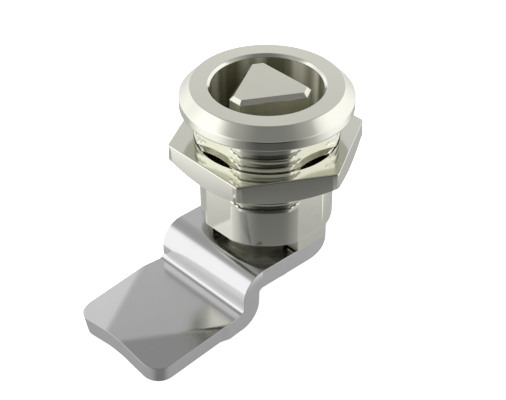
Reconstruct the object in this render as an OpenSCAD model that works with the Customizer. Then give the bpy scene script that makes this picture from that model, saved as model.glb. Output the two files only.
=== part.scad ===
/* [Housing head] */
// Diameter of the head over its rim
head_d = 27; // [26:0.5:34]
// Diameter of the flat ring on top of the head
head_top_d = 23.7; // [22:0.1:25]
// Height of the head above the panel
head_h = 3.35; // [2.8:0.05:5]
// Height of the upright rim below the head's slope
rim_h = 1.6; // [0.8:0.1:2]
// Diameter of the key recess
recess_d = 17.4; // [16.5:0.1:18]
// Depth of the key recess below the top of the head
recess_depth = 10; // [7:0.5:12]
// Width of the chamfer on the mouth of the recess
recess_chamfer = 0.4; // [0.2:0.1:0.8]

/* [Housing body] */
// Diameter over the thread crests
thread_d = 22.6; // [22.2:0.1:24]
// Distance from one thread groove to the next
thread_pitch = 1.55; // [1.25:0.05:2]
// Depth of a thread groove
thread_depth = 0.75; // [0.5:0.05:0.9]
// Distance from the panel face down to the first groove
thread_start = 2.1; // [0.5:0.1:3]
// Distance from the panel face down to the end of the thread
thread_len = 12.95; // [12:0.05:15]
// Diameter of the plain lower end
body_d = 21.2; // [21:0.1:21.6]
// Length of the body below the panel face
body_len = 19.7; // [18:0.1:28]
// Distance across opposite flats
flats_w = 20.4; // [19.8:0.1:20.6]

/* [Quarter-turn stop] */
// Width of the stop lug under the body
lug_w = 5.8; // [4.6:0.2:6.2]
// Thickness of the stop disc
stop_t = 1.95; // [1.5:0.05:3]
// Outer diameter of the stop disc's nose
stop_d = 18.6; // [17.6:0.2:19]
// Gap kept between the stop parts that pass each other
stop_gap = 0.3; // [0.2:0.05:0.4]

/* [Key and shaft] */
// Key triangle, measured from a flat to the cut corner opposite
key_w = 11; // [9:0.5:12]
// Width of a cut corner of the triangle
key_corner_w = 2.4; // [1.2:0.2:3]
// Chamfer round the top of the triangle
key_chamfer = 0.6; // [0.3:0.1:0.9]
// Thickness of the disc that carries the triangle
disc_t = 2.4; // [1.6:0.1:3]
// Diameter of the turning shaft
shaft_d = 15; // [14:0.1:15.4]
// Radial running fit of the shaft and of its disc
run_fit = 0.05; // [0.03:0.01:0.08]
// Thickness of the sealing ring's section
seal_t = 1.5; // [1:0.1:1.8]
// Width of the drive square
square_w = 8; // [7:0.1:8.4]
// Fit of the discs and the cam on the drive square
square_fit = 0.05; // [0.02:0.01:0.1]

/* [Cam] */
// Width of the cam
cam_w = 19.5; // [18.5:0.1:24]
// Extra width of the tongue on each side
tongue_flare = 0.3; // [0:0.05:1]
// Thickness of the cam's metal
cam_t = 3.2; // [2.6:0.1:3.6]
// Length of the cam from the lock's axis to its tip
cam_len = 31.9; // [30:0.1:48]
// Height of the crank in the cam
crank_h = 6.2; // [5.6:0.1:12]
// Distance from the lock's axis to the crank's far face
crank_reach = 13.85; // [13.2:0.05:14.5]
// Inner radius of the two crank bends
bend_r = 0.8; // [0.5:0.1:1]
// Angle by which the two wings of the tongue fold down
wing_angle = 12; // [6:0.5:15]
// Length of the folded wings, back from the tip
wing_len = 14; // [9:0.2:14.4]
// Width of the flat field between the wings at the tip
wing_gap = 3.2; // [2:0.2:5]
// Corner radius at the tip
tip_r = 3.1; // [1.2:0.1:4]

/* [Fasteners] */
// Width of the mounting nut across its flats
nut_af = 27; // [26:0.5:32]
// Thickness of the mounting nut
nut_t = 4; // [3:0.1:6]
// Step in from the nut's flats to the round face under it
nut_rim = 0.2; // [0:0.05:0.6]
// Distance from the panel face to the mounting nut
grip = 5.4; // [4.6:0.1:8]
// Chamfer at the mouths of the nut's thread
nut_chamfer = 0.35; // [0.2:0.05:0.6]
// Diameter of the cam bolt's shank
bolt_d = 6; // [5:0.1:6.4]
// Length of the cam bolt's shank
bolt_len = 12; // [9:0.5:14]
// Width of the bolt head across its flats
bolt_af = 10; // [9:0.5:13]
// Height of the bolt head
bolt_head_h = 4; // [3:0.1:5]
// Angle by which the bolt head is turned when tight
bolt_turn = 38; // [0:1:59]
// Diameter of the washer under the bolt head
washer_d = 16; // [14:0.5:18]
// Thickness of that washer
washer_t = 1.6; // [1:0.1:2]

/* [Hidden] */

round_fn = 96;
ring_fn = 32;
cut_margin = 1;
bolt_hole_fit = 0.05;
washer_fit = 0.2;
disc_lift = 0.1;

// Heights, with the panel face of the head at zero
recess_z = head_h - recess_depth;
shoulder_z = recess_z - disc_t - disc_lift;
body_z = -body_len;
stop_top_z = body_z - stop_gap;
cam_top_z = stop_top_z - stop_t;
cam_under_z = cam_top_z - cam_t;
tongue_z = cam_top_z - crank_h;
washer_z = cam_under_z - washer_t;
nut_top_z = -grip;
body_sink = rim_h / 2;

// Thread groove, cut with flanks at 30 degrees
groove_root_w = 0.2;
groove_w = groove_root_w + 2 * thread_depth * tan(30);
groove_count = floor((thread_len - thread_start - groove_w) / thread_pitch) + 1;

// Shaft, seal and bolt hole
disc_d = recess_d - 2 * run_fit;
shaft_bore_d = shaft_d + 2 * run_fit;
seal_lift = 0.02;
seal_depth = 2;
seal_side_gap = 0.15;
seal_groove_d = shaft_bore_d - 2 * seal_t - 4 * seal_lift;
seal_groove_w = seal_t + 2 * seal_side_gap;
seal_z = shoulder_z - seal_depth - seal_groove_w / 2;
bolt_hole_d = bolt_d + 2 * bolt_hole_fit;
bolt_tip_gap = 1;
square_relief = 0.25;

// Key triangle: distance of its flats and of its cut corners from the axis
key_flat_r = (key_w + key_corner_w * sqrt(3) / 2) / 3;
key_corner_r = key_w - key_flat_r;
key_turns = [-90, 30, 150];

// Cam profile, from the plate through the crank to the tongue
bend_out_r = bend_r + cam_t;
upper_bend_y = bend_out_r - crank_reach;
lower_bend_y = -crank_reach - bend_r;
wing_start_y = wing_len - cam_len;
tongue_w = cam_w + 2 * tongue_flare;

// Stop lug: its inner face clears the disc's hub
lug_in_r = shaft_d / 2 + stop_gap;
stop_side = lug_w / 2 + stop_gap;

// Turned outline of the head: upright rim, slope and flat top
module head_outline() {
    polygon([
        [0, 0],
        [head_d / 2, 0],
        [head_d / 2, rim_h],
        [head_top_d / 2, head_h],
        [0, head_h]
    ]);
}

// Turned outline of the threaded body, with one notch for each groove
module body_outline() {
    crest = thread_d / 2;
    root = crest - thread_depth;
    flank = thread_depth * tan(30);
    notches = [
        for (i = [0 : groove_count - 1])
            let (z = -thread_start - i * thread_pitch)
                each [
                    [crest, z],
                    [root, z - flank],
                    [root, z - flank - groove_root_w],
                    [crest, z - groove_w]
                ]
    ];
    polygon(concat(
        [[0, body_sink], [crest, body_sink]],
        notches,
        [[crest, -thread_len], [body_d / 2, -thread_len], [body_d / 2, body_z], [0, body_z]]
    ));
}

module four_flats() {
    translate([-flats_w / 2, -flats_w / 2, body_z])
        cube([flats_w, flats_w, body_len + body_sink]);
}

// Stepped bore: chamfered mouth, key recess and shaft bore
module housing_bore() {
    translate([0, 0, head_h - recess_chamfer])
        cylinder(h = recess_chamfer, d1 = recess_d, d2 = recess_d + 2 * recess_chamfer, $fn = round_fn);
    translate([0, 0, shoulder_z])
        cylinder(h = head_h - shoulder_z, d = recess_d, $fn = round_fn);
    translate([0, 0, body_z - cut_margin])
        cylinder(h = shoulder_z - body_z + 2 * cut_margin, d = shaft_bore_d, $fn = round_fn);
}

// Lug that hangs from the body, flush with one of its flats
module stop_lug() {
    intersection() {
        translate([lug_in_r, -lug_w / 2, cam_top_z + stop_gap])
            cube([flats_w / 2 - lug_in_r, lug_w, stop_top_z - cam_top_z + cut_margin]);
        translate([0, 0, cam_top_z])
            cylinder(h = body_z - cam_top_z + cut_margin, d = body_d, $fn = round_fn);
    }
}

module housing() {
    color("gainsboro")
        union() {
            difference() {
                union() {
                    rotate_extrude($fn = round_fn)
                        head_outline();
                    intersection() {
                        rotate_extrude($fn = round_fn)
                            body_outline();
                        four_flats();
                    }
                }
                housing_bore();
            }
            stop_lug();
        }
}

// Triangle with cut corners, one corner pointing along -Y like the cam
module key_triangle(flat_r, corner_r) {
    half_w = (2 * flat_r - corner_r) * tan(30);
    polygon([
        for (turn = key_turns, side = [-1, 1])
            [
                corner_r * cos(turn) - side * half_w * sin(turn),
                corner_r * sin(turn) + side * half_w * cos(turn)
            ]
    ]);
}

// Slope that takes the chamfer off one side of the triangle
module key_chamfer_cut(turn, distance) {
    rotate([0, 0, turn])
        translate([distance - key_chamfer, 0, head_h])
            rotate([0, 45, 0])
                translate([0, -key_w, -key_chamfer * sqrt(2)])
                    cube([key_w, 2 * key_w, 2 * key_chamfer * sqrt(2)]);
}

module key_insert() {
    color("silver")
        difference() {
            union() {
                difference() {
                    translate([0, 0, recess_z - cut_margin])
                        linear_extrude(height = recess_depth + cut_margin)
                            key_triangle(key_flat_r, key_corner_r);
                    for (turn = key_turns) {
                        key_chamfer_cut(turn + 180, key_flat_r);
                        key_chamfer_cut(turn, key_corner_r);
                    }
                }
                translate([0, 0, recess_z - disc_t])
                    cylinder(h = disc_t, d = disc_d, $fn = round_fn);
                translate([0, 0, stop_top_z])
                    cylinder(h = recess_z - disc_t - stop_top_z, d = shaft_d, $fn = round_fn);
                translate([-square_w / 2, -square_w / 2, cam_under_z + square_relief])
                    cube([square_w, square_w, stop_top_z - cam_under_z]);
            }
            seal_groove();
            translate([0, 0, washer_z - cut_margin])
                cylinder(h = bolt_len + cut_margin + bolt_tip_gap, d = bolt_hole_d, $fn = round_fn);
        }
}

module seal_groove() {
    difference() {
        translate([0, 0, seal_z - seal_groove_w / 2])
            cylinder(h = seal_groove_w, d = shaft_d + cut_margin, $fn = round_fn);
        translate([0, 0, seal_z - seal_groove_w])
            cylinder(h = 2 * seal_groove_w, d = seal_groove_d, $fn = round_fn);
    }
}

module shaft_seal() {
    color("dimgray")
        translate([0, 0, seal_z])
            rotate_extrude($fn = round_fn)
                translate([seal_groove_d / 2 + seal_lift + seal_t / 2, 0])
                    circle(d = seal_t, $fn = ring_fn);
}

// Drive square with its fit, cut through the discs on the shaft
module square_hole(z, height) {
    side = square_w + 2 * square_fit;
    translate([-side / 2, -side / 2, z - cut_margin])
        cube([side, side, height + 2 * cut_margin]);
}

// Hub with a nose round three quarters of it; the open quarter holds the lug
module stop_disc() {
    nose_h = stop_t + 2 * cut_margin;
    color("darkgray")
        translate([0, 0, cam_top_z])
            difference() {
                union() {
                    cylinder(h = stop_t, d = shaft_d, $fn = round_fn);
                    difference() {
                        cylinder(h = stop_t, d = stop_d, $fn = round_fn);
                        translate([-stop_side, stop_side - stop_d, -cut_margin])
                            cube([stop_d, stop_d, nose_h]);
                    }
                }
                square_hole(0, stop_t);
            }
}

// Side outline of the cranked strip, drawn with its length to the left and up as up
module cam_profile() {
    translate([upper_bend_y, cam_under_z])
        square([cam_w / 2 - upper_bend_y, cam_t]);
    bend(upper_bend_y, cam_top_z - bend_out_r, 0);
    translate([-crank_reach, tongue_z + bend_r])
        square([cam_t, crank_h - bend_out_r - bend_r]);
    bend(lower_bend_y, tongue_z + bend_r, 180);
    translate([wing_start_y, tongue_z - cam_t])
        square([lower_bend_y - wing_start_y, cam_t]);
}

// A quarter of a ring: the strip turning round one bend
module bend(y, z, turn) {
    translate([y, z])
        rotate(turn)
            difference() {
                intersection() {
                    circle(r = bend_out_r, $fn = round_fn);
                    translate([-bend_out_r, 0])
                        square(bend_out_r);
                }
                circle(r = bend_r, $fn = round_fn);
            }
}

// Plan of the strip: round end, straight sides, and a slight flare up to the wings
module strip_plan() {
    half_w = cam_w / 2;
    circle(d = cam_w, $fn = round_fn);
    polygon([
        [-half_w, 0],
        [-half_w, lower_bend_y],
        [-tongue_w / 2, wing_start_y],
        [tongue_w / 2, wing_start_y],
        [half_w, lower_bend_y],
        [half_w, 0]
    ]);
}

// The strip from the round end to where the wings begin
module cranked_strip() {
    intersection() {
        rotate([90, 0, 90])
            translate([0, 0, -tongue_w / 2])
                linear_extrude(height = tongue_w)
                    cam_profile();
        translate([0, 0, tongue_z - cam_t - cut_margin])
            linear_extrude(height = crank_h + cam_t + 2 * cut_margin)
                strip_plan();
    }
}

// Plan of the tongue beyond the wings' start, with its two round corners
module tongue_plan() {
    half_w = tongue_w / 2;
    difference() {
        translate([-half_w, -cam_len])
            square([tongue_w, wing_len]);
        for (side = [-1, 1])
            difference() {
                translate([side * (half_w - tip_r / 2) - tip_r / 2, -cam_len])
                    square(tip_r);
                translate([side * (half_w - tip_r), tip_r - cam_len])
                    circle(r = tip_r, $fn = round_fn);
            }
    }
}

// Field between the two fold lines
module centre_plan() {
    polygon([
        [-tongue_w / 2, wing_start_y],
        [-wing_gap / 2, -cam_len],
        [wing_gap / 2, -cam_len],
        [tongue_w / 2, wing_start_y]
    ]);
}

// One wing of the tongue, turned down about its fold line
module wing() {
    fold_run = (tongue_w - wing_gap) / 2;
    fold_turn = atan2(wing_len, fold_run);
    translate([tongue_w / 2, wing_start_y, tongue_z])
        rotate([0, 0, fold_turn])
            rotate([wing_angle, 0, 0])
                rotate([0, 0, -fold_turn])
                    translate([-tongue_w / 2, -wing_start_y, -cam_t])
                        linear_extrude(height = cam_t)
                            intersection() {
                                tongue_plan();
                                polygon([
                                    [tongue_w / 2, wing_start_y],
                                    [wing_gap / 2, -cam_len],
                                    [tongue_w / 2, -cam_len]
                                ]);
                            }
}

module cam() {
    color("lightgray")
        difference() {
            union() {
                cranked_strip();
                translate([0, 0, tongue_z - cam_t])
                    linear_extrude(height = cam_t)
                        centre_plan();
                wing();
                mirror([1, 0, 0])
                    wing();
            }
            square_hole(cam_under_z, cam_t);
        }
}

module cam_washer() {
    color("silver")
        difference() {
            translate([0, 0, washer_z])
                cylinder(h = washer_t, d = washer_d, $fn = round_fn);
            translate([0, 0, washer_z - cut_margin])
                cylinder(h = washer_t + 2 * cut_margin, d = bolt_d + 2 * washer_fit, $fn = round_fn);
        }
}

// Hexagon bolt whose head is chamfered towards its free end
module cam_bolt() {
    corner_d = bolt_af / cos(30);
    head_slope = (corner_d - bolt_af) / 2 * tan(30);
    color("silver")
        union() {
            intersection() {
                translate([0, 0, washer_z - bolt_head_h])
                    rotate([0, 0, bolt_turn])
                        cylinder(h = bolt_head_h, d = corner_d, $fn = 6);
                rotate_extrude($fn = round_fn)
                    polygon([
                        [0, washer_z],
                        [corner_d / 2, washer_z],
                        [corner_d / 2, washer_z - bolt_head_h + head_slope],
                        [bolt_af / 2, washer_z - bolt_head_h],
                        [0, washer_z - bolt_head_h]
                    ]);
            }
            translate([0, 0, washer_z - bolt_head_h / 2])
                cylinder(h = bolt_len + bolt_head_h / 2, d = bolt_d, $fn = round_fn);
        }
}

// Flat hexagon nut that clamps the panel against the head, its corners turned off underneath
module mounting_nut() {
    nut_bore_d = thread_d + 2 * run_fit;
    nut_corner_r = nut_af / 2 / cos(30);
    nut_face_r = nut_af / 2 - nut_rim;
    color("gainsboro")
        translate([0, 0, nut_top_z - nut_t])
            difference() {
                intersection() {
                    cylinder(h = nut_t, r = nut_corner_r, $fn = 6);
                    rotate_extrude($fn = round_fn)
                        polygon([
                            [0, 0],
                            [nut_face_r, 0],
                            [nut_corner_r, (nut_corner_r - nut_face_r) * tan(30)],
                            [nut_corner_r, nut_t],
                            [0, nut_t]
                        ]);
                }
                translate([0, 0, -cut_margin])
                    cylinder(h = nut_t + 2 * cut_margin, d = nut_bore_d, $fn = round_fn);
                cylinder(h = nut_chamfer, d1 = nut_bore_d + 2 * nut_chamfer, d2 = nut_bore_d, $fn = round_fn);
                translate([0, 0, nut_t - nut_chamfer])
                    cylinder(h = nut_chamfer, d1 = nut_bore_d, d2 = nut_bore_d + 2 * nut_chamfer, $fn = round_fn);
            }
}

housing();
key_insert();
shaft_seal();
stop_disc();
cam();
cam_washer();
cam_bolt();
mounting_nut();
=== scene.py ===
from math import acos, atan2, cos, degrees, pi, radians, sin, sqrt, tan

import bmesh
import bpy
from mathutils import Matrix, Vector


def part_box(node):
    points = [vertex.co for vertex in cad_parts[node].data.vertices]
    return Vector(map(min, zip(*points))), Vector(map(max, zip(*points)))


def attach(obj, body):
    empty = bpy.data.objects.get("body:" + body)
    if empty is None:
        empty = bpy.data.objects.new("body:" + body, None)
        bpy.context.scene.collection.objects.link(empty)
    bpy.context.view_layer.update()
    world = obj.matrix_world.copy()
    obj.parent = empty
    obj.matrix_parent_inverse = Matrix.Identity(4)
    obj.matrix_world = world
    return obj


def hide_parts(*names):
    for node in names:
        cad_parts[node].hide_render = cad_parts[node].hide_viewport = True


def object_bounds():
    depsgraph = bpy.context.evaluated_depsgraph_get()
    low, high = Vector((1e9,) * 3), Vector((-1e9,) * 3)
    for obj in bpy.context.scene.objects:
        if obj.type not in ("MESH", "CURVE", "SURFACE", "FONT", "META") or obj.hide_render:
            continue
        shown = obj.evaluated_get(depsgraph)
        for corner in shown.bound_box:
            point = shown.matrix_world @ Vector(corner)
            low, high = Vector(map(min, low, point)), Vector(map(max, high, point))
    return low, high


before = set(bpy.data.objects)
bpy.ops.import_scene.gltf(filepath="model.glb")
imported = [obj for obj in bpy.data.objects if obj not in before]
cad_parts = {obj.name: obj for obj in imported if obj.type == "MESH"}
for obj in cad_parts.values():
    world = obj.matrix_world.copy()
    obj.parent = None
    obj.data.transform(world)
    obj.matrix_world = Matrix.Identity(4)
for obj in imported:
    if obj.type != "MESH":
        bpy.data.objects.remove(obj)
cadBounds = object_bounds()
scene = bpy.context.scene

# Pieces are drawn in millimetres and scaled once, when they are finished
mm = 0.001
# How far from the axis a flat lies that cuts nothing off, in millimetres
unmilled = 1000.0
# Faces that meet at a larger angle than this, in degrees, keep a sharp edge between them
sharpAngle = 35


def cadBox(node):
    low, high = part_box(node)
    return low / mm, high / mm


def note(text):
    print("quarter-turn lock:", text)


def addObject(name, data):
    made = bpy.data.objects.new(name, data)
    scene.collection.objects.link(made)
    return made


def toMesh(name, bm):
    mesh = bpy.data.meshes.new(name)
    bm.to_mesh(mesh)
    bm.free()
    return mesh


# Camera: where it stands, in millimetres from the lock's origin, and how it looks down
cameraPlan = {
    "place": (126.06, -120.47, 109.54), "azimuth": 47.0, "elevation": 36.29, "lens": 95.8, "sensor": 36,
    "nearest": 5,
}


def makeCamera(plan):
    turn, tilt = radians(plan["azimuth"]), radians(plan["elevation"])
    right = Vector((cos(turn), sin(turn), 0))
    back = Vector((sin(turn) * cos(tilt), -cos(turn) * cos(tilt), sin(tilt)))
    data = bpy.data.cameras.new("photoCamera")
    data.sensor_width = plan["sensor"]
    data.lens = plan["lens"]
    data.clip_start = plan["nearest"] * mm
    camera = addObject("photoCamera", data)
    axes = Matrix((right, back.cross(right), back)).transposed()
    camera.matrix_world = Matrix.Translation(Vector(plan["place"]) * mm) @ axes.to_4x4()
    scene.camera = camera


makeCamera(cameraPlan)
note("camera placed")


# Nodes and colours

# Adds a node with its settings and links. Inputs are given by name or in order,
# and a node given for an input stands for its first output.
def put(tree, kind, links=(), **settings):
    node = tree.nodes.new(kind)
    for key, value in settings.items():
        setattr(node, key, value)
    for key, value in links.items() if isinstance(links, dict) else enumerate(links):
        if isinstance(value, bpy.types.Node):
            value = value.outputs[0]
        if isinstance(value, bpy.types.NodeSocket):
            tree.links.new(value, node.inputs[key])
        else:
            node.inputs[key].default_value = value
    return node


# An sRGB hex code as linear light, by sRGB's own curve
def fromHex(code):
    channels = [int(code[i:i + 2], 16) / 255 for i in (1, 3, 5)]
    return [c / 12.92 if c < 0.04045 else ((c + 0.055) / 1.055) ** 2.4 for c in channels] + [1]


def setStops(ramp, codes, places=(0, 1)):
    for stop, code, place in zip(ramp.color_ramp.elements, codes, places):
        stop.position = place
        stop.color = fromHex(code)


def newMaterial(name):
    material = bpy.data.materials.new(name)
    material.use_nodes = True
    material.node_tree.nodes.clear()
    return material, material.node_tree


# Metals. Each is two close tones, a roughness that drifts and a fine bump; sizes are in millimetres.
metalPlans = {
    # Bright nickel plate on polished die-cast zinc: warm mirror with a faint orange peel
    "polishedNickelPlate": {
        "tones": ("#E6E6DA", "#ECECE1"), "toneSize": 7, "roughness": (0.08, 0.12),
        "grain": (1, 1, 1), "grainSize": 0.9, "bumpHeight": 0.0006,
        "paintedStreakTones": ("#7F7E66", "#E6E5D2"), "castRoughness": 0.1, "castMetal": 0.45,
    },
    # The same plate on the satin casting of the key
    "satinNickelPlate": {
        "tones": ("#DDDDD0", "#E5E5D9"), "toneSize": 5, "roughness": (0.16, 0.22),
        "grain": (1, 1, 1), "grainSize": 0.5, "bumpHeight": 0.0015,
        "paintedStreakTones": ("#A09F88", "#B0AF98"), "castRoughness": 0.25, "castMetal": 0.5,
    },
    # Cold-rolled steel strip, tumbled and zinc plated: neutral grey, grain along the unfolded strip
    "rolledSteelStrip": {
        "tones": ("#D5D5D5", "#DBDBDB"), "toneSize": 6, "roughness": (0.16, 0.18),
        "grain": (1, 0.12, 1), "grainSize": 0.35, "bumpHeight": 0.00005, "along": "strip",
    },
    # Free-cutting steel of the stop disc, turned; its tones are darkened as painted shade for its place under the
    # housing, and it still mirrors
    "shadeDarkenedSteel": {
        "tones": ("#8B8A80", "#97968B"), "toneSize": 4, "roughness": (0.06, 0.1),
        "grain": (1, 1, 1), "grainSize": 0.4, "bumpHeight": 0.0005,
    },
    # Clear zinc on small turned and pressed steel parts
    "zincPlatedSteel": {
        "tones": ("#AEB1B4", "#BEC0C2"), "toneSize": 3, "roughness": (0.24, 0.34),
        "grain": (1, 1, 1), "grainSize": 0.3, "bumpHeight": 0.002,
    },
}

# Some points keep the casting's skin under the plate, with light and dark streaks along the axis painted on as
# reflection stripes;
# others are painted nearly black, as the shade in the thread's grooves and in the nut's gap
paintedMarkPlan = {
    "streakSize": 3.2, "streakShift": (13, 4, 0), "streakDraw": (1, 1, 0.02), "streakStops": (0.38, 0.6),
    "paintedShadeTone": "#1C1B12",
}

# Noise seldom leaves this span, so mapping it uses the whole of a range
noiseSpan = (0.3, 0.7)


def makeMetal(name, plan, paintedMarks):
    material, tree = newMaterial(name)
    if "along" in plan:
        place = put(tree, "ShaderNodeAttribute", attribute_name=plan["along"]).outputs["Vector"]
    else:
        place = put(tree, "ShaderNodeTexCoord").outputs["Object"]
    soft = put(tree, "ShaderNodeTexNoise", {"Vector": place, "Scale": 1 / (plan["toneSize"] * mm), "Detail": 3})
    stretched = put(tree, "ShaderNodeMapping", {"Vector": place, "Scale": plan["grain"]})
    fine = put(tree, "ShaderNodeTexNoise", {
        "Vector": stretched, "Scale": 1 / (plan["grainSize"] * mm), "Detail": 4,
    })
    colour = put(tree, "ShaderNodeValToRGB", {"Fac": soft})
    setStops(colour, plan["tones"])
    roughness = put(tree, "ShaderNodeMapRange", {
        "Value": fine, "From Min": noiseSpan[0], "From Max": noiseSpan[1],
        "To Min": plan["roughness"][0], "To Max": plan["roughness"][1],
    })
    metallic = 1
    if "paintedStreakTones" in plan:
        # Light and dark streaks along the axis are painted reflection stripes, laid over the casting's skin
        drawn = put(tree, "ShaderNodeMapping", {
            "Vector": place, "Location": [shift * mm for shift in paintedMarks["streakShift"]], "Scale": paintedMarks["streakDraw"],
        })
        streak = put(tree, "ShaderNodeTexNoise", {
            "Vector": drawn, "Scale": 1 / (paintedMarks["streakSize"] * mm), "Detail": 1,
        })
        paintedStreaks = put(tree, "ShaderNodeValToRGB", {"Fac": streak})
        setStops(paintedStreaks, plan["paintedStreakTones"], paintedMarks["streakStops"])
        cast, oiled = (
            put(tree, "ShaderNodeAttribute", attribute_name=label).outputs["Fac"] for label in ("cast", "oiled")
        )
        roughness = put(tree, "ShaderNodeMath", (cast, plan["castRoughness"], roughness), operation="MULTIPLY_ADD")
        metallic = put(tree, "ShaderNodeMath", (cast, plan["castMetal"] - 1, 1), operation="MULTIPLY_ADD")
        # The mix takes its factor at socket 0 and its colours at 6 and 7, and gives its colour at 2
        # The near-black tone is painted shade in grooves and gaps
        for share, over in ((cast, paintedStreaks), (oiled, fromHex(paintedMarks["paintedShadeTone"]))):
            colour = put(tree, "ShaderNodeMix", {0: share, 6: colour, 7: over}, data_type="RGBA").outputs[2]
    bump = put(tree, "ShaderNodeBump", {"Height": fine, "Distance": plan["bumpHeight"] * mm, "Strength": 1})
    shader = put(tree, "ShaderNodeBsdfPrincipled", {
        "Base Color": colour, "Metallic": metallic, "Roughness": roughness, "Normal": bump,
    })
    put(tree, "ShaderNodeOutputMaterial", {"Surface": shader})
    return material


# Black nitrile of the shaft seal: moulded, matt, with a dusting of talc
rubberPlan = {"tones": ("#161616", "#2B2B2A"), "dustSize": 0.6, "roughness": 0.62}


def makeRubber(name, plan):
    material, tree = newMaterial(name)
    place = put(tree, "ShaderNodeTexCoord").outputs["Object"]
    dust = put(tree, "ShaderNodeTexNoise", {"Vector": place, "Scale": 1 / (plan["dustSize"] * mm), "Detail": 5})
    colour = put(tree, "ShaderNodeValToRGB", {"Fac": dust})
    setStops(colour, plan["tones"])
    shader = put(tree, "ShaderNodeBsdfPrincipled", {"Base Color": colour, "Roughness": plan["roughness"]})
    put(tree, "ShaderNodeOutputMaterial", {"Surface": shader})
    return material


finishes = {name: makeMetal(name, plan, paintedMarkPlan) for name, plan in metalPlans.items()}
finishes["mouldedNitrileRubber"] = makeRubber("mouldedNitrileRubber", rubberPlan)
note("finishes mixed")


# Two Geometry Nodes trees do what the shop does to a turned blank

def startTree(name, sockets):
    tree = bpy.data.node_groups.new(name, "GeometryNodeTree")
    tree.interface.new_socket("Geometry", in_out="INPUT", socket_type="NodeSocketGeometry")
    for label, kind in sockets:
        tree.interface.new_socket(label, in_out="INPUT", socket_type="NodeSocket" + kind)
    tree.interface.new_socket("Geometry", in_out="OUTPUT", socket_type="NodeSocketGeometry")
    return tree, put(tree, "NodeGroupInput").outputs


# A point's coordinates and its distance from the axis
def placeAndRadius(tree):
    parts = put(tree, "ShaderNodeSeparateXYZ", [put(tree, "GeometryNodeInputPosition")]).outputs
    squares = [put(tree, "ShaderNodeMath", (parts[axis], 2), operation="POWER") for axis in "XY"]
    total = put(tree, "ShaderNodeMath", squares, operation="ADD")
    return parts, put(tree, "ShaderNodeMath", [total], operation="SQRT")


# Moves every point to its new radius and height, and closes the tree
def finishTree(tree, given, parts, radius, newRadius, height):
    share = put(tree, "ShaderNodeMath", (newRadius, radius), operation="DIVIDE")
    across = [put(tree, "ShaderNodeMath", (parts[axis], share), operation="MULTIPLY") for axis in "XY"]
    moved = put(tree, "ShaderNodeCombineXYZ", across + [height])
    shaped = put(tree, "GeometryNodeSetPosition", {"Geometry": given["Geometry"], "Position": moved})
    real = put(tree, "GeometryNodeRealizeInstances", {"Geometry": shaped})
    dressed = put(tree, "GeometryNodeSetMaterial", {"Geometry": real, "Material": given["Material"]})
    put(tree, "NodeGroupOutput", {"Geometry": dressed})
    return tree


# Ring grooves at the thread's pitch, where the blank's "thread" attribute is 1
def makeCutRings():
    tree, given = startTree("cutRings", [
        ("Pitch", "Float"), ("Depth", "Float"), ("First centre", "Float"), ("Half width", "Float"),
        ("Flank", "Float"), ("Softness", "Float"), ("Material", "Material"),
    ])
    parts, radius = placeAndRadius(tree)
    below = put(tree, "ShaderNodeMath", (given["First centre"], parts["Z"]), operation="SUBTRACT")
    halfPitch = put(tree, "ShaderNodeMath", (given["Pitch"], 0.5), operation="MULTIPLY")
    downwards = put(tree, "ShaderNodeMath", (halfPitch, -1), operation="MULTIPLY")
    wrapped = put(tree, "ShaderNodeMath", (below, halfPitch, downwards), operation="WRAP")
    away = put(tree, "ShaderNodeMath", [wrapped], operation="ABSOLUTE")
    inside = put(tree, "ShaderNodeMath", (given["Half width"], away), operation="SUBTRACT")
    share = put(tree, "ShaderNodeMath", (inside, given["Flank"]), operation="DIVIDE")
    capped = put(tree, "ShaderNodeMath", (share, 1, given["Softness"]), operation="SMOOTH_MIN")
    cut = put(tree, "ShaderNodeMath", (capped, 0, given["Softness"]), operation="SMOOTH_MAX")
    thread = put(tree, "GeometryNodeInputNamedAttribute", {"Name": "thread"}, data_type="FLOAT")
    marked = put(tree, "ShaderNodeMath", (cut, thread.outputs["Attribute"]), operation="MULTIPLY")
    depth = put(tree, "ShaderNodeMath", (marked, given["Depth"]), operation="MULTIPLY")
    newRadius = put(tree, "ShaderNodeMath", (radius, depth), operation="SUBTRACT")
    return finishTree(tree, given, parts, radius, newRadius, parts["Z"])


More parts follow.
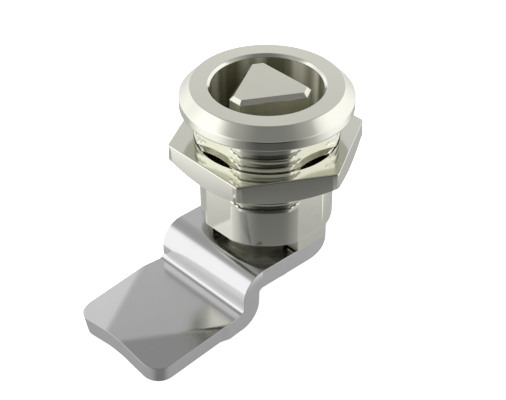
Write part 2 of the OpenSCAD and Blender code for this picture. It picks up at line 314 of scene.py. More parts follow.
# Flats round a blank: "Flats" names the attribute that holds their distance from the axis.
# Points marked "cone" then rise by the slope of a turned chamfer that starts at its own radius.
def makeMillFlats():
    tree, given = startTree("millFlats", [
        ("Sides", "Float"), ("Turn", "Float"), ("Flats", "String"), ("Softness", "Float"),
        ("Cone radius", "Float"), ("Cone slope", "Float"), ("Material", "Material"),
    ])
    parts, radius = placeAndRadius(tree)
    bearing = put(tree, "ShaderNodeMath", (parts["Y"], parts["X"]), operation="ARCTAN2")
    turned = put(tree, "ShaderNodeMath", (bearing, given["Turn"]), operation="SUBTRACT")
    halfSector = put(tree, "ShaderNodeMath", (pi, given["Sides"]), operation="DIVIDE")
    backwards = put(tree, "ShaderNodeMath", (halfSector, -1), operation="MULTIPLY")
    fromFlat = put(tree, "ShaderNodeMath", (turned, halfSector, backwards), operation="WRAP")
    flats = put(tree, "GeometryNodeInputNamedAttribute", {"Name": given["Flats"]}, data_type="FLOAT")
    slant = put(tree, "ShaderNodeMath", [fromFlat], operation="COSINE")
    limit = put(tree, "ShaderNodeMath", (flats.outputs["Attribute"], slant), operation="DIVIDE")
    milled = put(tree, "ShaderNodeMath", (radius, limit, given["Softness"]), operation="SMOOTH_MIN")
    past = put(tree, "ShaderNodeMath", (milled, given["Cone radius"]), operation="SUBTRACT")
    beyond = put(tree, "ShaderNodeMath", (past, 0), operation="MAXIMUM")
    slope = put(tree, "ShaderNodeMath", (beyond, given["Cone slope"]), operation="MULTIPLY")
    cone = put(tree, "GeometryNodeInputNamedAttribute", {"Name": "cone"}, data_type="FLOAT")
    rise = put(tree, "ShaderNodeMath", (slope, cone.outputs["Attribute"]), operation="MULTIPLY")
    height = put(tree, "ShaderNodeMath", (parts["Z"], rise), operation="ADD")
    return finishTree(tree, given, parts, radius, milled, height)


cutRings = makeCutRings()
millFlats = makeMillFlats()


# A turned blank: corners are (radius, height, edge radius, marks), where marks are point attributes.
# The marks in flagMarks are switches; the others are the flats' distances from the axis, and
# "follows" makes those shrink with the radius round an edge.
flagMarks = ("thread", "cone", "cast", "oiled")


def plain(radius, height, edge=0.0, **marks):
    return (radius, height, edge, marks)


# The blank's outline as rows, with its edges rounded in some steps. A row on either side of an edge
# keeps the shading of the faces beside it flat, where they have room for one.
def section(corners, closed, steps=4, support=0.12):
    rows = []
    last = len(corners) - 1
    for index, (radius, height, edge, marks) in enumerate(corners):
        if edge == 0 or (not closed and index in (0, last)):
            rows.append((radius, height, marks))
            continue
        corner = Vector((radius, height))
        before = Vector(corners[index - 1][:2]) - corner
        after = Vector(corners[(index + 1) % len(corners)][:2]) - corner
        half = before.angle(after) / 2
        reach = edge / tan(half)
        room = reach + 3 * support
        heart = corner + (before.normalized() + after.normalized()).normalized() * edge / sin(half)
        spots = []
        if before.length > room:
            spots.append(corner + before.normalized() * (reach + support))
        start = corner + before.normalized() * reach - heart
        sweep = start.angle_signed(corner + after.normalized() * reach - heart)
        for step in range(steps + 1):
            spots.append(heart + Matrix.Rotation(-sweep * step / steps, 2) @ start)
        if after.length > room:
            spots.append(corner + after.normalized() * (reach + support))
        for spot in spots:
            kept = dict(marks)
            if kept.pop("follows", False):
                for label in kept.keys() - set(flagMarks):
                    kept[label] -= radius - spot.x
            rows.append((spot.x, spot.y, kept))
    return rows


# Where spokes lie close together beside a flat's middle, in degrees: even steps round the place
# where the flat ends, from some way before it
def fan(middle, before, step, count):
    return [middle - before + step * i for i in range(count)]


# Angles of a blank's spokes: even all round, and close together at each corner it will get
def spokes(step, corners, offsets):
    angles = {round(i * step, 3) for i in range(round(360 / step))}
    for corner in corners:
        for offset in offsets:
            angles.update((round((corner + offset) % 360, 3), round((corner - offset) % 360, 3)))
    return [radians(a) for a in sorted(angles)]


def turnBlank(name, rows, angles, closed, marks):
    bm = bmesh.new()
    layers = {label: bm.verts.layers.float.new(label) for label in marks}
    rings = []
    for radius, height, marked in rows:
        ring = [
            bm.verts.new((radius * cos(a), radius * sin(a), height))
            for a in (angles if radius > 0 else angles[:1])
        ]
        for vertex in ring:
            # The housing's flats are milled square to x and y, and the painted shade stays off them
            milled = max(abs(vertex.co.x), abs(vertex.co.y)) > marked.get("flats", unmilled)
            for label, layer in layers.items():
                value = marked.get(label, 0 if label in flagMarks else unmilled)
                vertex[layer] = 0 if label == "oiled" and milled else value
        rings.append(ring)
    pairs = list(zip(rings, rings[1:] + rings[:1]))
    for lower, upper in pairs if closed else pairs[:-1]:
        for i in range(len(angles)):
            j = (i + 1) % len(angles)
            around = [lower[i % len(lower)], lower[j % len(lower)], upper[j % len(upper)], upper[i % len(upper)]]
            bm.faces.new(list(dict.fromkeys(around)))
    bmesh.ops.recalc_face_normals(bm, faces=bm.faces)
    return addObject(name, toMesh(name, bm))


# Adds one step of work to a blank; inputs are set by their sockets' identifiers
def work(blank, tree, inputs):
    modifier = blank.modifiers.new(tree.name, "NODES")
    modifier.node_group = tree
    for item in tree.interface.items_tree:
        if item.item_type == "SOCKET" and item.in_out == "INPUT" and item.name in inputs:
            modifier[item.identifier] = inputs[item.name]


# Turns worked blanks into one plain mesh in metres, with soft normals that break at real corners
def finishPiece(name, blanks, material, body, nodes):
    bpy.context.view_layer.update()
    depsgraph = bpy.context.evaluated_depsgraph_get()
    bm = bmesh.new()
    for blank in blanks:
        worked = bpy.data.meshes.new_from_object(blank.evaluated_get(depsgraph))
        bm.from_mesh(worked)
        bpy.data.meshes.remove(worked)
        bpy.data.objects.remove(blank)
    mesh = toMesh(name, bm)
    mesh.transform(Matrix.Scale(mm, 4))
    mesh.materials.clear()
    mesh.materials.append(finishes[material])
    mesh.polygons.foreach_set("use_smooth", [True] * len(mesh.polygons))
    mesh.polygons.foreach_set("material_index", [0] * len(mesh.polygons))
    mesh.set_sharp_from_angle(angle=radians(sharpAngle))
    piece = addObject(name, mesh)
    weighted = piece.modifiers.new("evenNormals", "WEIGHTED_NORMAL")
    weighted.keep_sharp = True
    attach(piece, body)
    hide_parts(*nodes)
    note(f"{name}: {len(mesh.vertices)} points")


# How far beside a groove's corners its rows lie
grooveSoft = 0.03


# Heights of the rows that a row of grooves needs, from the first groove's centre
def grooveHeights(centre, pitch, count, halfWidth, flank):
    offsets = [0.0, halfWidth - flank / 2]
    for corner in (halfWidth - flank, halfWidth):
        offsets += [corner - grooveSoft, corner, corner + grooveSoft]
    around = sorted({round(s * o, 4) for o in offsets for s in (-1, 1) if o >= 0}, reverse=True)
    return [centre - i * pitch + offset for i in range(count) for offset in around]


# Housing: one casting, turned outline with four milled flats, stepped bore and stop lug
housingPlan = {
    "topRadius": 11.85, "rimHeight": 1.6, "mouthChamfer": 0.4, "recessRadius": 8.7, "shoulderHeight": -9.15,
    "shaftBoreRadius": 7.55, "crestRadius": 11.3, "rootDepth": 0.75, "pitch": 1.55, "threadStart": 2.1,
    "threadEnd": 12.95, "rootWidth": 0.2, "threadAngle": 60, "plainRadius": 10.6, "flatDistance": 10.2,
    "bodyLength": 19.7, "lugHalfWidth": 2.9, "lugInner": 7.8, "lugProud": 0.004, "edge": 0.12, "rimEdge": 0.22,
    "polishedMouth": 0.15, "shadeFrom": 0.1, "shadeTo": 0.02, "ringSoftness": 0.05, "flatSoftness": 0.05,
    "spokeStep": 3, "cornerFan": (5, 0.75, 20),
}


def threadShape(plan):
    flank = plan["rootDepth"] * tan(radians(plan["threadAngle"] / 2))
    halfWidth = flank + plan["rootWidth"] / 2
    count = int((plan["threadEnd"] - plan["threadStart"] - 2 * halfWidth) / plan["pitch"]) + 1
    return {"flank": flank, "halfWidth": halfWidth, "count": count, "centre": -plan["threadStart"] - halfWidth}


def makeBlock(name, low, high, edge):
    bm = bmesh.new()
    bmesh.ops.create_cube(bm, size=1)
    for vertex in bm.verts:
        vertex.co = [l + (c + 0.5) * (h - l) for l, h, c in zip(low, high, vertex.co)]
    bmesh.ops.bevel(bm, geom=bm.edges[:], offset=edge, segments=3, profile=0.5, affect="EDGES")
    return addObject(name, toMesh(name, bm))


def makeHousing(plan):
    low, high = cadBox("housing")
    rim, top = high.x, high.z
    crest, flat, edge = plan["crestRadius"], plan["flatDistance"], plan["edge"]
    recess, bore, bottom = plan["recessRadius"], plan["shaftBoreRadius"], -plan["bodyLength"]
    shape = threadShape(plan)
    corners = [
        # The bore and recess walls keep the casting's skin, with painted reflection streaks
        plain(bore, bottom, edge, cast=1.0),
        plain(bore, plan["shoulderHeight"], edge, cast=1.0),
        plain(recess, plan["shoulderHeight"], cast=1.0),
        plain(recess, top - plan["mouthChamfer"] - plan["polishedMouth"], cast=1.0),
        plain(recess, top - plan["mouthChamfer"], edge / 2),
        plain(recess + plan["mouthChamfer"], top, edge / 2),
        plain(plan["topRadius"], top, edge),
        plain(rim, plan["rimHeight"], plan["rimEdge"]),
        plain(rim, 0, edge),
        plain(crest, 0, flats=flat),
    ]
    # A thin line just under each crest is painted nearly black, as painted shade in the groove
    heights = grooveHeights(shape["centre"], plan["pitch"], shape["count"], shape["halfWidth"], shape["flank"])
    for z in heights:
        above = (z - shape["centre"] + plan["pitch"] / 2) % plan["pitch"] - plan["pitch"] / 2
        shaded = shape["halfWidth"] - plan["shadeFrom"] < above < shape["halfWidth"] - plan["shadeTo"]
        corners.append(plain(crest, z, flats=flat, thread=1.0, oiled=1.0 if shaded else 0.0))
    corners += [
        plain(crest, -plan["threadEnd"], flats=flat),
        plain(plan["plainRadius"], -plan["threadEnd"], flats=flat),
        plain(plan["plainRadius"], bottom, edge, flats=flat, follows=True),
    ]
    flatEdge = degrees(acos(flat / plan["plainRadius"]))
    angles = spokes(plan["spokeStep"], (0, 90, 180, 270), fan(flatEdge, *plan["cornerFan"]))
    blank = turnBlank("housingBlank", section(corners, True), angles, True, ("flats", "thread", "cast", "oiled"))
    finish = finishes["polishedNickelPlate"]
    work(blank, cutRings, {
        "Pitch": plan["pitch"], "Depth": plan["rootDepth"], "First centre": shape["centre"],
        "Half width": shape["halfWidth"], "Flank": shape["flank"], "Softness": plan["ringSoftness"],
        "Material": finish,
    })
    work(blank, millFlats, {
        "Sides": 4.0, "Turn": 0.0, "Flats": "flats", "Softness": plan["flatSoftness"], "Material": finish,
    })
    lug = makeBlock(
        "stopLug",
        (plan["lugInner"], -plan["lugHalfWidth"], low.z),
        (flat + plan["lugProud"], plan["lugHalfWidth"], bottom + 3 * edge), edge / 2,
    )
    finishPiece(
        "polishedHousing", [blank, lug], "polishedNickelPlate", "fixed_housing", ["housing"],
    )


makeHousing(housingPlan)


# Mounting nut: hexagon with turned corners, and ridges that run in the housing's grooves
nutPlan = {
    "boreRadius": 11.35, "mouthRadius": 11.4, "mouthChamfer": 0.6, "mouthSkinAndStreaks": 0.6, "ridge": 0.7,
    "clearance": 0.1, "cornerCut": 0.1, "edge": 0.1, "faceRadius": 13.3, "chamferAngle": 30, "chamferEdge": 0.06,
    "faceMargin": 0.05, "markStep": 0.01, "ringSoftness": 0.1, "flatSoftness": 0.05, "spokeStep": 3,
    "cornerOffsets": (0, 0.3, 0.6, 0.9, 1.3, 1.8, 2.4),
}


def makeNut(plan, body):
    low, high = cadBox("mounting_nut")
    flat = high.y
    corner = flat / cos(radians(30)) - plan["cornerCut"]
    shape = threadShape(body)
    halfWidth = shape["halfWidth"] - plan["clearance"]
    flank = halfWidth - grooveSoft
    heights = grooveHeights(shape["centre"], body["pitch"], shape["count"], halfWidth, flank)
    bottom, mouth = low.z + plan["faceMargin"], high.z - 2 * plan["mouthChamfer"]
    inside = sorted(z for z in heights if bottom < z < mouth)
    lip = plan["mouthRadius"] - plan["mouthChamfer"]
    # The bore and the lip of the mouth are painted nearly black, as painted shade in the gap round the housing's
    # thread
    corners = [plain(plan["boreRadius"], z, thread=1.0, oiled=1.0) for z in [low.z] + inside]
    corners += [
        plain(lip, high.z - plan["mouthChamfer"] - plan["markStep"], oiled=1.0),
        # The mouth's chamfer gets part of the casting's skin, with its painted reflection streaks
        plain(lip, high.z - plan["mouthChamfer"], cast=plan["mouthSkinAndStreaks"]),
        plain(plan["mouthRadius"] - plan["markStep"], high.z - plan["markStep"], cast=plan["mouthSkinAndStreaks"]),
        plain(plan["mouthRadius"], high.z),
        plain(corner, high.z, plan["edge"], flats=flat, follows=True),
        plain(corner, low.z + plan["chamferEdge"], flats=flat, cone=1.0),
        plain(corner, low.z, flats=flat - plan["chamferEdge"], cone=1.0),
        plain(plan["faceRadius"], low.z),
    ]
    angles = spokes(plan["spokeStep"], range(0, 360, 60), plan["cornerOffsets"])
    blank = turnBlank("nutBlank", section(corners, True), angles, True, ("flats", "thread", "cone", "cast", "oiled"))
    finish = finishes["polishedNickelPlate"]
    work(blank, cutRings, {
        "Pitch": body["pitch"], "Depth": plan["ridge"], "First centre": shape["centre"],
        "Half width": halfWidth, "Flank": flank, "Softness": plan["ringSoftness"], "Material": finish,
    })
    work(blank, millFlats, {
        "Sides": 6.0, "Turn": radians(30), "Flats": "flats", "Softness": plan["flatSoftness"],
        "Cone radius": plan["faceRadius"], "Cone slope": tan(radians(plan["chamferAngle"])), "Material": finish,
    })
    finishPiece("hexagonNut", [blank], "polishedNickelPlate", "clamp_nut", ["mounting_nut"])


makeNut(nutPlan, housingPlan)


# Key insert: triangle on a disc, shaft with the seal's groove, drive square and a hole for the bolt
keyPlan = {
    "blankRadius": 12.0, "flat": 4.36, "cutCorner": 6.64, "chamfer": 0.6, "recessFloor": -6.65,
    "discRadius": 8.65, "discBottom": -9.05, "shaftRadius": 7.5, "sealTop": -11.15, "sealBottom": -12.95,
    "sealRadius": 6.01, "shaftBottom": -20.0, "square": 4.0, "squareCornerCut": 0.15, "holeRadius": 3.05,
    "holeTop": -13.75, "edge": 0.06, "flatSoftness": 0.05, "spokeStep": 4, "cornerFan": (2, 0.4, 13),
    "squareOffsets": (0, 0.8, 1.6, 2.6),
}


def makeKey(plan):
    low, high = cadBox("key_insert")
    wide, edge, chamfer = plan["blankRadius"], plan["edge"], plan["chamfer"]
    flat, cut, shaft = plan["flat"], plan["cutCorner"], plan["shaftRadius"]
    squareBlank = plan["square"] * sqrt(2) - plan["squareCornerCut"]
    corners = [
        plain(0, high.z),
        plain(flat / 2, high.z),
        plain(wide - chamfer, high.z, edge, flats=flat - chamfer, cuts=cut - chamfer, follows=True),
        plain(wide, high.z - chamfer, edge, flats=flat, cuts=cut, follows=True),
        # The key's sides and the disc's top keep the casting's skin, with painted reflection streaks
        plain(wide, high.z - chamfer - 3 * edge, flats=flat, cuts=cut, cast=1.0),
        plain(wide, plan["recessFloor"], flats=flat, cuts=cut, cast=1.0),
        plain(plan["discRadius"], plan["recessFloor"], 2 * edge, cast=1.0),
        plain(plan["discRadius"], plan["discBottom"], edge),
        plain(shaft, plan["discBottom"]),
        plain(shaft, plan["sealTop"], edge),
        plain(plan["sealRadius"], plan["sealTop"]),
        plain(plan["sealRadius"], plan["sealBottom"]),
        plain(shaft, plan["sealBottom"], edge),
        plain(shaft, plan["shaftBottom"], edge),
        plain(squareBlank, plan["shaftBottom"], square=plan["square"]),
        plain(squareBlank, low.z, 2 * edge, square=plan["square"], follows=True),
        plain(plan["holeRadius"], low.z, edge),
        plain(plan["holeRadius"], plan["holeTop"]),
        plain(0, plan["holeTop"]),
    ]
    keyCorner = degrees(atan2((cut - flat / 2) / sin(radians(60)), flat))
    angles = spokes(plan["spokeStep"], (90, 210, 330), fan(keyCorner, *plan["cornerFan"]))
    angles = sorted(set(angles) | set(spokes(90, (45, 135, 225, 315), plan["squareOffsets"])))
    blank = turnBlank("keyBlank", section(corners, False), angles, False, ("flats", "cuts", "square", "cast"))
    for sides, turn, flats in ((3.0, 90, "flats"), (3.0, -90, "cuts"), (4.0, 0, "square")):
        work(blank, millFlats, {
            "Sides": sides, "Turn": radians(turn), "Flats": flats, "Softness": plan["flatSoftness"],
            "Material": finishes["satinNickelPlate"],
        })
    finishPiece("triangleKey", [blank], "satinNickelPlate", "key_and_cam", ["key_insert"])


makeKey(keyPlan)


# Washer under the bolt's head
washerPlan = {"hole": 3.2, "edge": 0.25, "spokeStep": 3}


def makeWasher(plan):
    low, high = cadBox("cam_washer")
    corners = [
        plain(plan["hole"], low.z, plan["edge"] / 2),
        plain(plan["hole"], high.z, plan["edge"] / 2),
        plain(high.x, high.z, plan["edge"]),
        plain(high.x, low.z, plan["edge"]),
    ]
    blank = turnBlank("washerBlank", section(corners, True), spokes(plan["spokeStep"], (), ()), True, ())
    finishPiece("flatWasher", [blank], "zincPlatedSteel", "key_and_cam", ["cam_washer"])


makeWasher(washerPlan)


# Bolt that holds the cam: hexagon head with a turned chamfer, and ring grooves for its thread
boltPlan = {
    "radius": 3.0, "flat": 5.0, "turn": 38, "headHeight": 4.0, "headFaceRadius": 4.8, "chamferAngle": 30,
    "cornerCut": 0.05, "pitch": 1.0, "threadDepth": 0.5, "threadAngle": 60, "halfRoot": 0.06, "lead": 1,
    "unthreaded": 2, "endEdge": 0.3, "edge": 0.1, "ringSoftness": 0.1, "flatSoftness": 0.04, "spokeStep": 4,
    "cornerOffsets": (0, 0.5, 1.2, 2.2),
}


def makeBolt(plan):
    low, high = cadBox("cam_bolt")
    headTop = low.z + plan["headHeight"]
    corner = plan["flat"] / cos(radians(30)) - plan["cornerCut"]
    flank = plan["threadDepth"] * tan(radians(plan["threadAngle"] / 2))
    halfWidth = flank + plan["halfRoot"]
    count = int((high.z - headTop - plan["unthreaded"]) / plan["pitch"])
    centre = high.z - plan["lead"]
    threads = grooveHeights(centre, plan["pitch"], count, halfWidth, flank)
    corners = [
        plain(0, low.z),
        plain(plan["headFaceRadius"], low.z),
        plain(corner, low.z, flats=plan["flat"] - plan["edge"] / 2, cone=1.0),
        plain(corner, low.z + plan["edge"] / 2, flats=plan["flat"], cone=1.0),
        plain(corner, headTop, plan["edge"], flats=plan["flat"], follows=True),
        plain(plan["radius"], headTop),
    ]
    corners += [plain(plan["radius"], z, thread=1.0) for z in sorted(threads)]
    corners += [plain(plan["radius"], high.z, plan["endEdge"]), plain(0, high.z)]
    angles = spokes(plan["spokeStep"], [plan["turn"] + 60 * i for i in range(6)], plan["cornerOffsets"])
    blank = turnBlank("boltBlank", section(corners, False), angles, False, ("flats", "thread", "cone"))
    finish = finishes["zincPlatedSteel"]
    work(blank, cutRings, {
        "Pitch": plan["pitch"], "Depth": plan["threadDepth"], "First centre": centre,
        "Half width": halfWidth, "Flank": flank, "Softness": plan["ringSoftness"], "Material": finish,
    })
    work(blank, millFlats, {
        "Sides": 6.0, "Turn": radians(plan["turn"] + 30), "Flats": "flats", "Softness": plan["flatSoftness"],
        "Cone radius": plan["headFaceRadius"], "Cone slope": tan(radians(plan["chamferAngle"])),
        "Material": finish,
    })
    finishPiece("camBolt", [blank], "zincPlatedSteel", "key_and_cam", ["cam_bolt"])


makeBolt(boltPlan)


# Cam: a blank stamped from strip, then folded at two crank bends and along two wings
camPlan = {
    "halfWidth": 9.75, "thickness": 3.2, "crankHeight": 6.2, "crankReach": 13.85, "innerRadius": 0.8,
    "wingLength": 14.0, "wingGap": 3.2, "wingAngle": 12, "wingRadius": 5.0, "tipRadius": 3.1, "square": 4.05,
    "squareCorner": 0.3, "edge": 0.06, "edgeSupport": 2.5, "edgeSteps": 4, "endSteps": 48, "cornerSteps": 16,
    "squareSteps": 6, "upperCuts": 28, "lowerCuts": 14, "wingCuts": 8, "cutMargin": 0.3, "weld": 0.001,
}


# Outline of the stamped blank, drawn in by some inset: round end, sides that flare a little, round tip corners
def stripOutline(plan, tongueHalf, flareStart, flareEnd, tip, inset):
    halfWidth, tipRadius = plan["halfWidth"], plan["tipRadius"]
    arcs = (
        ((0, 0), halfWidth, 0, 180, plan["endSteps"]),
        ((-tongueHalf + tipRadius, tip + tipRadius), tipRadius, 180, 270, plan["cornerSteps"]),
        ((tongueHalf - tipRadius, tip + tipRadius), tipRadius, 270, 360, plan["cornerSteps"]),
    )
    points = []
    for (x, y), radius, start, end, steps in arcs:
        for step in range(steps + 1):
            angle = radians(start + (end - start) * step / steps)
            points.append((x + (radius - inset) * cos(angle), y + (radius - inset) * sin(angle)))
        if start == 0:
            points += [(inset - halfWidth, flareStart), (inset - tongueHalf, flareEnd)]
    return points + [(tongueHalf - inset, flareEnd), (halfWidth - inset, flareStart)]


# Outline of the square hole, opened out by some inset
def squareOutline(plan, inset):
    half, corner = plan["square"] - plan["squareCorner"], plan["squareCorner"]
    points = []
    for turn in (0, 90, 180, 270):
        middle = Vector((half, half))
        middle.rotate(Matrix.Rotation(radians(turn), 2))
        for step in range(plan["squareSteps"] + 1):
            angle = radians(turn + 90 * step / plan["squareSteps"])
            points.append((middle.x + (corner + inset) * cos(angle), middle.y + (corner + inset) * sin(angle)))
    return points


# How far in and how deep each row of the stamped edge lies, with a row on the faces above and below
def edgeRows(plan):
    edge, steps = plan["edge"], plan["edgeSteps"]
    turns = [radians(90 * step / steps) for step in range(steps + 1)]
    upper = [(plan["edgeSupport"] * edge, 0.0)]
    upper += [(edge * (1 - sin(turn)), edge * (1 - cos(turn))) for turn in turns]
    return upper + [(inset, plan["thickness"] - depth) for inset, depth in reversed(upper)]


# Adds the blank: a wall of edge rows round each outline, and a filled face above and below
def stampBlank(bm, outlines, rows):
    caps = ([], [])
    for outline in outlines:
        loops = [[bm.verts.new((x, y, -depth)) for x, y in outline(inset)] for inset, depth in rows]
        for upper, lower in zip(loops, loops[1:]):
            for i in range(len(upper)):
                j = (i + 1) % len(upper)
                bm.faces.new((upper[i], upper[j], lower[j], lower[i]))
        for cap, loop in zip(caps, (loops[0], loops[-1])):
            cap += [bm.edges.get((loop[i], loop[(i + 1) % len(loop)])) for i in range(len(loop))]
    for cap in caps:
        bmesh.ops.triangle_fill(bm, use_beauty=True, edges=cap)


# Gives the metal something to bend at: cuts are (place, normal), and slanted ones stay in the tongue
def cutBlank(bm, cuts, tongueStart, weld):
    for place, normal in cuts:
        slanted = abs(normal[0]) > 0
        faces = [f for f in bm.faces if not slanted or f.calc_center_median().y < tongueStart]
        edges = {e for f in faces for e in f.edges}
        corners = {v for f in faces for v in f.verts}
        bmesh.ops.bisect_plane(
            bm, geom=list(corners) + list(edges) + faces, dist=weld, plane_co=place, plane_no=normal,
        )


# Folds every point past a line in plan: downwards for a positive angle, with the top face at that radius
def foldBlank(points, start, away, angle, radius):
    sign = 1 if angle > 0 else -1
    turn = radians(abs(angle))
    length = radius * turn
    for point in points:
        along = (point.x - start[0]) * away[0] + (point.y - start[1]) * away[1]
        if along <= 0:
            continue
        bent = min(along / radius, turn)
        arm = radius + sign * point.z
        run = arm * sin(bent) + max(along - length, 0) * cos(bent)
        drop = radius - arm * cos(bent) + max(along - length, 0) * sin(bent)
        point.x += (run - along) * away[0]
        point.y += (run - along) * away[1]
        point.z = -sign * drop


def makeCam(plan):
    low, high = cadBox("cam")
    inner = plan["innerRadius"]
    outer = inner + plan["thickness"]
    upperStart = outer - plan["crankReach"]
    upperLength, lowerLength = outer * pi / 2, inner * pi / 2
    lowerStart = upperStart - upperLength - (plan["crankHeight"] - outer - inner)
    tongueStart = lowerStart - lowerLength
    tip = tongueStart - (-(plan["crankReach"] + inner) - low.y)
    wingStart = tip + plan["wingLength"]
    tongueHalf = high.x

    bm = bmesh.new()
    strip = bm.verts.layers.float_vector.new("strip")
    outlines = (
        lambda inset: stripOutline(plan, tongueHalf, tongueStart, wingStart, tip, inset),
        lambda inset: squareOutline(plan, inset),
    )
    stampBlank(bm, outlines, edgeRows(plan))

    foldRun = tongueHalf - plan["wingGap"] / 2
    foldLength = sqrt(foldRun ** 2 + plan["wingLength"] ** 2)
    bendLength = plan["wingRadius"] * radians(plan["wingAngle"])
    lines = []
    for start, length, count in (
        (upperStart, upperLength, plan["upperCuts"]), (lowerStart, lowerLength, plan["lowerCuts"]),
    ):
        lines += [start - length * i / count for i in range(count + 1)]
    lines += [upperStart + plan["cutMargin"], tongueStart - plan["cutMargin"]]
    cuts = [((0, y, 0), (0, 1, 0)) for y in lines]
    wings = []
    for side in (-1, 1):
        away = (side * plan["wingLength"] / foldLength, -foldRun / foldLength)
        first = (side * tongueHalf - away[0] * bendLength / 2, wingStart - away[1] * bendLength / 2)
        wings.append((first, away))
        for i in range(-1, plan["wingCuts"] + 2):
            shift = bendLength * i / plan["wingCuts"]
            cuts.append(((first[0] + away[0] * shift, first[1] + away[1] * shift, 0), (away[0], away[1], 0)))
    cutBlank(bm, cuts, tongueStart, plan["weld"])

    for vertex in bm.verts:
        vertex[strip] = vertex.co * mm
    points = [v.co for v in bm.verts]
    # The folds draw the wings' lower edge back from the tip, so the flat between them follows
    for point in (p for p in points if p.y < tip + 3 * plan["edge"]):
        along = max((point.x - f[0]) * a[0] + (point.y - f[1]) * a[1] for f, a in wings)
        left = sin(radians(plan["wingAngle"]) * (1 - min(max(along / bendLength, 0), 1)))
        point.y -= point.z * left * foldRun / foldLength
    for first, away in wings:
        foldBlank(points, first, away, plan["wingAngle"], plan["wingRadius"])
    foldBlank(points, (0, lowerStart), (0, -1), -90, inner)
    foldBlank(points, (0, upperStart), (0, -1), 90, outer)
    for point in points:
        point.z += high.z
    bmesh.ops.recalc_face_normals(bm, faces=bm.faces)
    blank = addObject("camBlank", toMesh("camBlank", bm))
    finishPiece("crankedCam", [blank], "rolledSteelStrip", "key_and_cam", ["cam"])


makeCam(camPlan)


# The seal and the stop disc keep their own solids; the disc's darker steel is painted shade
for node, finish in (("shaft_seal", "mouldedNitrileRubber"), ("stop_disc", "shadeDarkenedSteel")):
    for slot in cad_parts[node].material_slots:
        slot.material = finishes[finish]
note("pieces finished")


# Studio: pale floor, and a room that is brightest just above the horizon and fades upwards, with a
# dark side behind the camera, a darker gap in that, and a tall soft card on each flank. Angles are in
# degrees and sizes in metres, apart from the floor's drop below the lock in millimetres. A card's
# level is its brightness, and a dark side's level is the share of light it takes.
studioPlan = {
    "floorDrop": 0.3, "floorSize": 4.0, "floorTone": "#F4F4F4", "floorLift": 0.8, "surroundRadius": 1.2,
    "surroundSteps": (64, 32),
    "room": (
        (-90, 0.45), (-45, 0.48), (-34, 0.5), (-25, 0.7), (-12, 0.83), (0, 1.0), (12, 1.15), (22, 0.95),
        (31, 0.7), (41, 0.52), (52, 0.44), (66, 0.33), (90, 0.3),
    ),
    "darkSide": {"bearing": -35, "inner": 18, "outer": 74, "low": -90, "high": 90, "soft": 1, "level": 0.48},
    "darkGap": {"bearing": -38, "inner": 15, "outer": 54, "low": -36, "high": 24, "soft": 8, "level": 0.9},
    "leftCard": {"bearing": -125, "inner": 10, "outer": 47, "low": -35.1, "high": 42, "soft": 4.5, "level": 1.3},
    "rightCard": {"bearing": 60, "inner": 8, "outer": 48, "low": -34.8, "high": 40, "soft": 3, "level": 1.18},
    "lampPlace": (-0.25, -0.2, 0.45), "lampSize": 0.5, "lampPower": 4.0, "ambient": 0.6,
}


# 1 for rays from the camera, a mirror or glass, and 0 for the ones that only bring light
def seenRays(tree):
    path = put(tree, "ShaderNodeLightPath").outputs
    mirrored = put(tree, "ShaderNodeMath", (path["Is Camera Ray"], path["Is Glossy Ray"]), operation="MAXIMUM")
    return put(tree, "ShaderNodeMath", (mirrored, path["Is Transmission Ray"]), operation="MAXIMUM")


def makeFloor(plan):
    half = plan["floorSize"] / 2
    height = cadBounds[0][2] - plan["floorDrop"] * mm
    corners = [(x * half, y * half, height) for x, y in ((-1, -1), (1, -1), (1, 1), (-1, 1))]
    mesh = bpy.data.meshes.new("floor")
    mesh.from_pydata(corners, [], [(0, 1, 2, 3)])
    material, tree = newMaterial("matPaintedFloor")
    paint = put(tree, "ShaderNodeBsdfDiffuse", {"Color": fromHex(plan["floorTone"])})
    strength = put(tree, "ShaderNodeMath", (seenRays(tree), plan["floorLift"]), operation="MULTIPLY")
    lift = put(tree, "ShaderNodeEmission", {"Strength": strength})
    both = put(tree, "ShaderNodeAddShader", (paint, lift))
    under = put(tree, "ShaderNodeNewGeometry").outputs["Backfacing"]
    sided = put(tree, "ShaderNodeMixShader", (under, both, put(tree, "ShaderNodeBsdfTransparent")))
    put(tree, "ShaderNodeOutputMaterial", {"Surface": sided})
    mesh.materials.append(material)
    floor = addObject("floor", mesh)
    floor.visible_glossy = False


# A soft-edged card on the room's wall: 1 inside, 0 outside
def wallCard(tree, bearing, height, card):
    turned = put(tree, "ShaderNodeMath", (bearing, card["bearing"]), operation="SUBTRACT")
    wrapped = put(tree, "ShaderNodeMath", (turned, 180, -180), operation="WRAP")
    aside = put(tree, "ShaderNodeMath", [wrapped], operation="ABSOLUTE")
    soft = card["soft"]
    sides, lower, upper = (
        put(tree, "ShaderNodeMapRange", {"Value": value, "From Min": outside, "From Max": within},
            interpolation_type="SMOOTHSTEP")
        for value, outside, within in (
            (aside, card["outer"], card["inner"]),
            (height, card["low"] - soft, card["low"] + soft),
            (height, card["high"] + soft, card["high"] - soft),
        )
    )
    trimmed = put(tree, "ShaderNodeMath", (sides, lower), operation="MULTIPLY")
    return put(tree, "ShaderNodeMath", (trimmed, upper), operation="MULTIPLY")


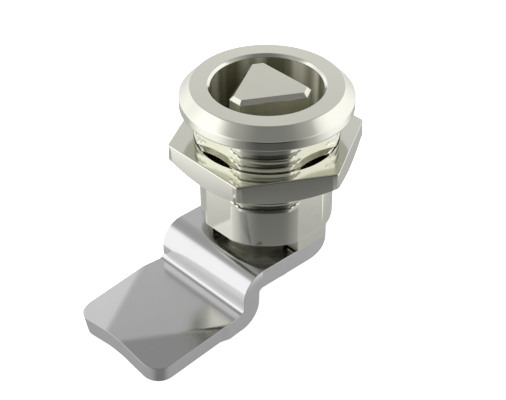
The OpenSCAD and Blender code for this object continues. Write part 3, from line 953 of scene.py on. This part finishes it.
# What the metal mirrors: the room and its cards on a sphere that only reflections see
def makeSurround(plan):
    across, upwards = plan["surroundSteps"]
    bm = bmesh.new()
    bmesh.ops.create_uvsphere(bm, u_segments=across, v_segments=upwards, radius=plan["surroundRadius"])
    mesh = toMesh("surround", bm)
    material, tree = newMaterial("studioCards")
    place = put(tree, "ShaderNodeTexCoord").outputs["Object"]
    away = put(tree, "ShaderNodeVectorMath", [place], operation="NORMALIZE")
    parts = put(tree, "ShaderNodeSeparateXYZ", [away]).outputs
    turn = put(tree, "ShaderNodeMath", (parts["Y"], parts["X"]), operation="ARCTAN2")
    rise = put(tree, "ShaderNodeMath", [parts["Z"]], operation="ARCSINE")
    bearing, height = (put(tree, "ShaderNodeMath", [angle], operation="DEGREES") for angle in (turn, rise))

    # The ramp runs from straight down to straight up, and holds half of each level
    share = put(tree, "ShaderNodeMath", (height, 1 / 180, 0.5), operation="MULTIPLY_ADD")
    ramp = put(tree, "ShaderNodeValToRGB", {"Fac": share})
    elements = ramp.color_ramp.elements
    for rowHeight, _ in plan["room"][1:-1]:
        elements.new(rowHeight / 180 + 0.5)
    for element, (_, level) in zip(elements, plan["room"]):
        element.color = (level / 2, level / 2, level / 2, 1)
    room = put(tree, "ShaderNodeMath", (ramp, 2), operation="MULTIPLY")
    for name in ("darkSide", "darkGap"):
        mask = wallCard(tree, bearing, height, plan[name])
        shade = put(tree, "ShaderNodeMath", (mask, plan[name]["level"]), operation="MULTIPLY")
        kept = put(tree, "ShaderNodeMath", (1, shade), operation="SUBTRACT")
        room = put(tree, "ShaderNodeMath", (room, kept), operation="MULTIPLY")
    for name in ("leftCard", "rightCard"):
        mask = wallCard(tree, bearing, height, plan[name])
        step = put(tree, "ShaderNodeMath", (plan[name]["level"], room), operation="SUBTRACT")
        room = put(tree, "ShaderNodeMath", (mask, step, room), operation="MULTIPLY_ADD")
    glow = put(tree, "ShaderNodeEmission", {"Strength": room})
    put(tree, "ShaderNodeOutputMaterial", {"Surface": glow})
    mesh.materials.append(material)
    surround = addObject("surround", mesh)
    for kind in ("camera", "diffuse", "transmission", "shadow", "volume_scatter"):
        setattr(surround, "visible_" + kind, False)


def makeLamp(plan):
    data = bpy.data.lights.new("softLamp", "AREA")
    data.size = plan["lampSize"]
    data.energy = plan["lampPower"]
    lamp = addObject("softLamp", data)
    lamp.location = plan["lampPlace"]
    lamp.rotation_euler = Vector(plan["lampPlace"]).to_track_quat("Z", "Y").to_euler()
    lamp.visible_glossy = False


# White where it is seen, and dimmer as a light
def makeWorld(plan):
    world = bpy.data.worlds.new("whiteRoom")
    world.use_nodes = True
    scene.world = world
    tree = world.node_tree
    tree.nodes.clear()
    dim, white = (
        put(tree, "ShaderNodeBackground", {"Color": (1, 1, 1, 1), "Strength": strength})
        for strength in (plan["ambient"], 1)
    )
    mixed = put(tree, "ShaderNodeMixShader", (seenRays(tree), dim, white))
    put(tree, "ShaderNodeOutputWorld", {"Surface": mixed})


makeFloor(studioPlan)
makeSurround(studioPlan)
makeLamp(studioPlan)
makeWorld(studioPlan)
scene.view_settings.view_transform = "Standard"
note("studio lit")
